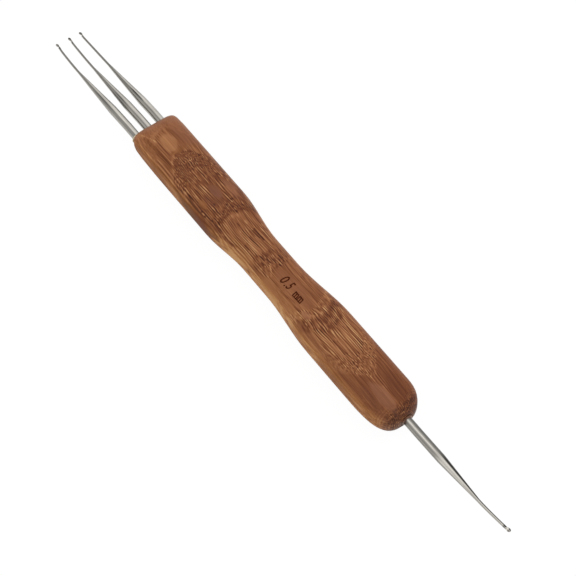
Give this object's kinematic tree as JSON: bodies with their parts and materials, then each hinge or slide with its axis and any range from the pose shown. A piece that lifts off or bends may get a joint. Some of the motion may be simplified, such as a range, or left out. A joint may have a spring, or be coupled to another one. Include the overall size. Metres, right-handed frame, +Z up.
{
  "type": "dreadlock crochet hook",
  "caption": "Double-ended hand tool for dreadlocks: a waisted bamboo handle with parallel steel crochet hooks glued into its square end and a single one in its round end.",
  "frame": {"origin": "on the plane that the handle rests on, under the middle of the overall length and width", "axes": "+X from the three-hook end to the single-hook end, +Y across the handle, +Z up, square to its flats"},
  "size_m": [0.171, 0.013, 0.009],
  "materials": {
    "bamboo": "carbonised bamboo, sanded and satin lacquered",
    "steel": "drawn and ground steel wire, satin polish",
    "epoxy": "cured clear epoxy, wiped"
  },
  "bodies": {
    "root": {"handle": "bamboo", "hook_left": "steel", "hook_middle": "steel", "hook_right": "steel", "hook_single": "steel", "adhesive_left": "epoxy", "adhesive_middle": "epoxy", "adhesive_right": "epoxy", "adhesive_single": "epoxy"}
  },
  "joints": []
}
